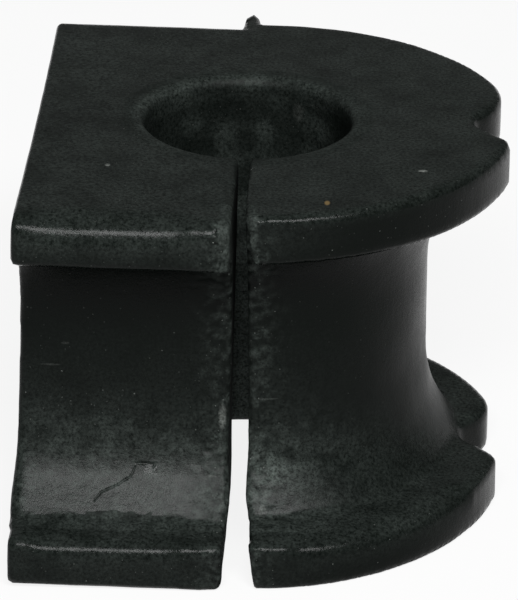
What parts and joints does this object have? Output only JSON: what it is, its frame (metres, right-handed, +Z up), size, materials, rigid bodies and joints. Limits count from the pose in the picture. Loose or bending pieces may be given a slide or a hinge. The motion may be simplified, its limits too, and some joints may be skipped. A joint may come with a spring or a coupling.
{
  "type": "sway bar bushing",
  "caption": "D-shaped rubber bushing with flanged ends, a deep bracket groove between them, a through bore for the bar and a slit from the bore to one side.",
  "frame": {"origin": "on the bore's axis, at half the height of the dome half", "axes": "+Z up the bore, +X towards the crown of the dome, and the slit faces -Y"},
  "size_m": [0.0519, 0.0604, 0.0428],
  "materials": {
    "rubber": "near-black moulded rubber, semi-matt, with fine grain and dust"
  },
  "bodies": {
    "root": {"bushing": "rubber"}
  },
  "joints": []
}
